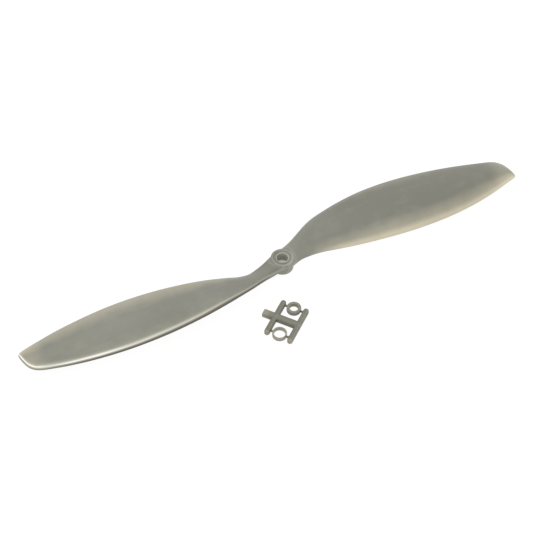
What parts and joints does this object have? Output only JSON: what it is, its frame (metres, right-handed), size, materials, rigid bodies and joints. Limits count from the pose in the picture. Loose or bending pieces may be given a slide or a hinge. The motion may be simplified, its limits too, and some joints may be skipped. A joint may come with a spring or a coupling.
{
  "type": "model aircraft propeller",
  "caption": "Two-blade slow-flyer propeller with a round bored hub, and its sprue of loose shaft adapter rings.",
  "frame": {"origin": "centre of the hub's back face, on the shaft axis", "axes": "+Z forward along the shaft, +X along blade_a to its tip, +Y completes the right-handed frame on the side of blade_a's leading edge"},
  "size_m": [0.3048, 0.0691, 0.0129],
  "materials": {
    "propeller_nylon": "satin grey-green glass-filled nylon",
    "sprue_nylon": "matte grey-green nylon",
    "ring_nylon": "satin grey-green nylon, thin walls let some light through"
  },
  "bodies": {
    "propeller": {"hub": "propeller_nylon", "blade_a": "propeller_nylon", "blade_b": "propeller_nylon"},
    "ring_sprue": {"sprue_runner": "sprue_nylon"},
    "narrow_bore_ring": {"adapter_ring_narrow_bore": "ring_nylon"},
    "wide_bore_ring": {"adapter_ring_wide_bore": "ring_nylon"}
  },
  "joints": [
    {"name": "ring_sprue_lift", "type": "slide", "parent": "propeller", "child": "ring_sprue", "axis": [0, 0, 1], "range_m": [0, 0.03]},
    {"name": "narrow_bore_ring_lift", "type": "slide", "parent": "ring_sprue", "child": "narrow_bore_ring", "axis": [0, 0, 1], "range_m": [0, 0.02]},
    {"name": "wide_bore_ring_lift", "type": "slide", "parent": "ring_sprue", "child": "wide_bore_ring", "axis": [0, 0, 1], "range_m": [0, 0.02]}
  ]
}
